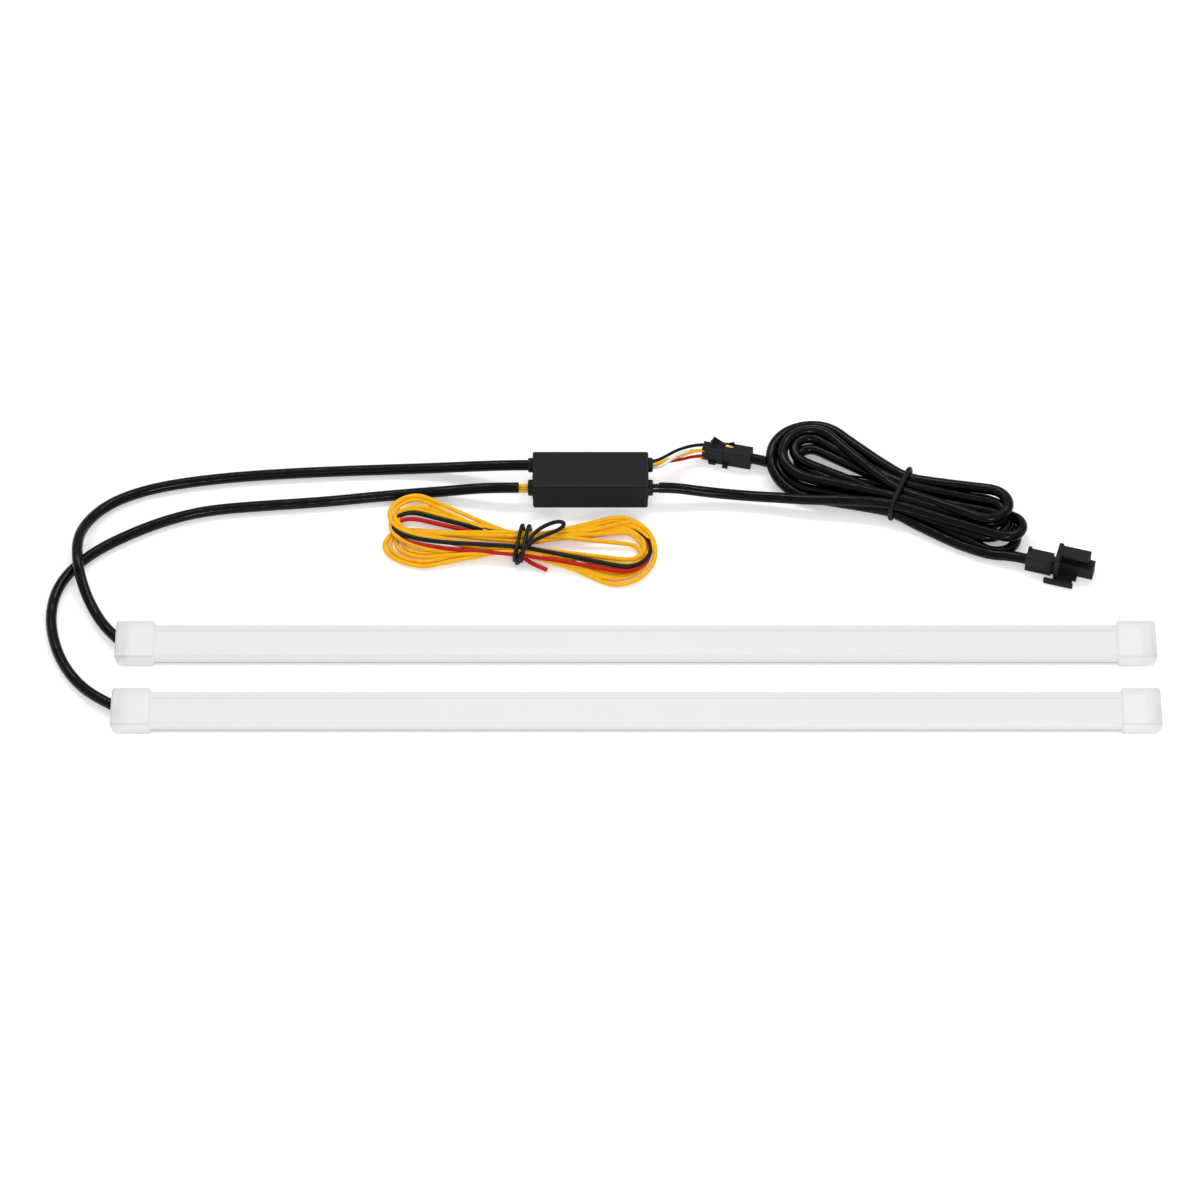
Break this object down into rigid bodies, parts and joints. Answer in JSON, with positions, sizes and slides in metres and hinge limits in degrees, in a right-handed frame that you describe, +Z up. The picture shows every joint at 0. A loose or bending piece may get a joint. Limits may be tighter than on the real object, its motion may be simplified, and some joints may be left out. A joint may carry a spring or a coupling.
{
  "type": "led light strip",
  "caption": "Pair of translucent LED light strips with end caps, wired by black cables to a control box, with a coiled extension lead, plug connectors and a tied supply harness.",
  "frame": {"origin": "centre of the footprint of the two strips and the control box, on the surface they lie on", "axes": "+X along the strips towards their plain ends, +Y from the front strip to the control box, +Z up"},
  "size_m": [0.4814, 0.1671, 0.015],
  "materials": {
    "black_insulation": "glossy wire insulation",
    "box_plastic": "fine moulded texture",
    "cable_jacket": "smooth, slightly glossy",
    "cap_silicone": "milky translucent, satin",
    "capacitor_can": "bright can",
    "chip_black": "moulded epoxy",
    "circuit_board": "green solder mask",
    "connector_plastic": "moulded, satin",
    "contact_brass": "stamped",
    "flex_board": "white solder mask",
    "foam_tape": "acrylic foam",
    "gland_rubber": "matt",
    "led_package": "phosphor in a white frame",
    "red_insulation": "glossy wire insulation",
    "tie_rubber": "satin",
    "translucent_silicone": "milky translucent, satin",
    "white_insulation": "glossy wire insulation",
    "white_silicone": "matt white",
    "yellow_insulation": "glossy wire insulation"
  },
  "bodies": {
    "root": {"box_base": "box_plastic", "box_cover": "box_plastic", "box_lead": "cable_jacket", "control_board": "circuit_board", "controller_chip": "chip_black", "driver_transistors": "chip_black", "extension_hank": "cable_jacket", "extension_hank_tie": "tie_rubber", "extension_lead_end": "cable_jacket", "extension_lead_start": "cable_jacket", "extension_plug": "connector_plastic", "free_connector": "connector_plastic", "free_contacts": "contact_brass", "front_adhesive_tape": "foam_tape", "front_chip_resistors": "chip_black", "front_diffuser_core": "white_silicone", "front_flex_circuit": "flex_board", "front_lead_end_cap": "cap_silicone", "front_led_chips": "led_package", "front_left_cores": "yellow_insulation", "front_light_sleeve": "translucent_silicone", "front_plain_end_cap": "cap_silicone", "front_right_cores": "black_insulation", "front_strip_cable": "cable_jacket", "gland_front_left": "gland_rubber", "gland_front_right": "gland_rubber", "gland_rear_left": "gland_rubber", "gland_rear_right": "gland_rubber", "harness_hank": "yellow_insulation", "harness_tie": "black_insulation", "pair_contacts": "contact_brass", "pigtail_black": "black_insulation", "pigtail_red": "red_insulation", "pigtail_socket": "connector_plastic", "pigtail_white": "white_insulation", "pigtail_yellow": "yellow_insulation", "rear_adhesive_tape": "foam_tape", "rear_chip_resistors": "chip_black", "rear_diffuser_core": "white_silicone", "rear_flex_circuit": "flex_board", "rear_lead_end_cap": "cap_silicone", "rear_led_chips": "led_package", "rear_light_sleeve": "translucent_silicone", "rear_plain_end_cap": "cap_silicone", "rear_strip_cable": "cable_jacket", "red_tail": "red_insulation", "smoothing_capacitor": "capacitor_can", "voltage_regulator": "chip_black"}
  },
  "joints": []
}
